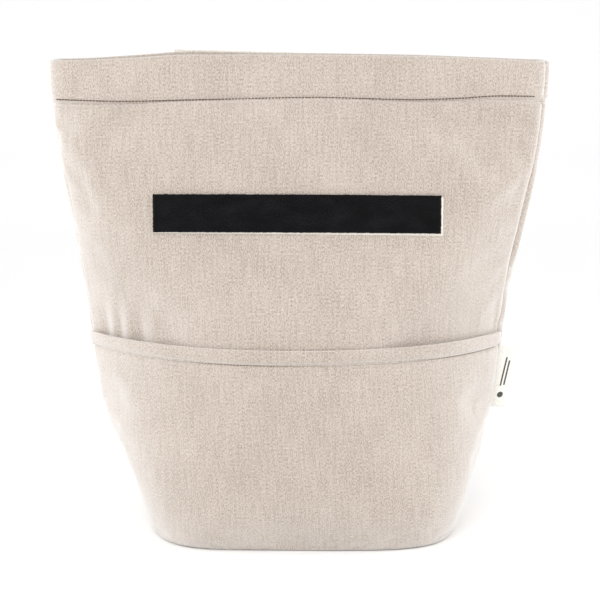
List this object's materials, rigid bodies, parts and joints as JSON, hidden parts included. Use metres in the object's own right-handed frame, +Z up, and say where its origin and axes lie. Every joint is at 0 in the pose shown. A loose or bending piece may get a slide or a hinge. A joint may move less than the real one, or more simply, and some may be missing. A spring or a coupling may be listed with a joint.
{
  "type": "roll-top canvas bag",
  "caption": "Padded flat-bottomed canvas bag that stands by itself, with a roll-down top closed by hook and loop tape, a wide front pocket and a side label.",
  "frame": {"origin": "centre of the bounding box's bottom face, on the surface the bag stands on", "axes": "+Z up, the front with the pocket and loop tape faces -Y, the side label is at +X"},
  "size_m": [0.337, 0.1352, 0.33],
  "materials": {
    "canvas": "undyed recycled cotton canvas",
    "padding": "closed-cell foam sheet",
    "lining": "plain woven lining",
    "loop_pile": "black loop pile tape",
    "hook_pile": "black hook tape",
    "label_tape": "off-white woven tape"
  },
  "bodies": {
    "root": {"base_panel": "canvas", "base_padding": "padding", "front_panel": "canvas", "back_panel_sides": "canvas", "front_padding": "padding", "back_padding_sides": "padding", "lining_tub": "lining", "pocket_panel": "canvas", "loop_tape_backing": "canvas", "loop_tape": "loop_pile"},
    "back_wall": {"back_panel": "canvas", "back_padding": "padding", "back_lining": "lining"},
    "roll_band": {"roll_front_panel": "canvas", "roll_front_lining": "lining", "roll_side_left": "canvas", "roll_side_right": "canvas"},
    "roll_back": {"roll_back_panel": "canvas", "roll_back_lining": "lining"},
    "hem_band": {"hem_front": "canvas", "hem_side_left": "canvas", "hem_side_right": "canvas"},
    "hem_back": {"hem_back": "canvas", "hook_tape_backing": "canvas", "hook_tape": "hook_pile"},
    "label": {"side_label": "label_tape"}
  },
  "joints": [
    {"name": "roll_top", "type": "hinge", "parent": "root", "child": "roll_band", "pos_m": [0, -0.04658, 0.26209], "axis": [1, 0, 0], "range_deg": [0, 178]},
    {"name": "hem_fold", "type": "hinge", "parent": "roll_band", "child": "hem_band", "pos_m": [0, -0.03173, 0.3047], "axis": [1, 0, 0], "range_deg": [0, 178]},
    {"name": "back_lean", "type": "hinge", "parent": "root", "child": "back_wall", "pos_m": [0, 0.061, 0.07], "axis": [1, 0, 0], "range_deg": [0, 18.1]},
    {"name": "roll_flatten", "type": "hinge", "parent": "roll_band", "child": "roll_back", "pos_m": [0, 0.0006, 0.48294], "axis": [-1, 0, 0], "range_deg": [0, 17.8]},
    {"name": "hem_flatten", "type": "hinge", "parent": "hem_band", "child": "hem_back", "pos_m": [0, 0.0006, 0.48294], "axis": [-1, 0, 0], "range_deg": [0, 17.2]},
    {"name": "label_hinge", "type": "hinge", "parent": "root", "child": "label", "pos_m": [0.1367, 0.0006, 0.086], "axis": [0.1961, 0, 0.9806], "range_deg": [-75, 75]}
  ],
  "couplings": [
    {"joint": "hem_fold", "follows": "roll_top", "ratio": 1},
    {"joint": "back_lean", "follows": "roll_top", "ratio": 0.10168},
    {"joint": "roll_flatten", "follows": "roll_top", "ratio": 0.1},
    {"joint": "hem_flatten", "follows": "roll_top", "ratio": 0.09662}
  ]
}
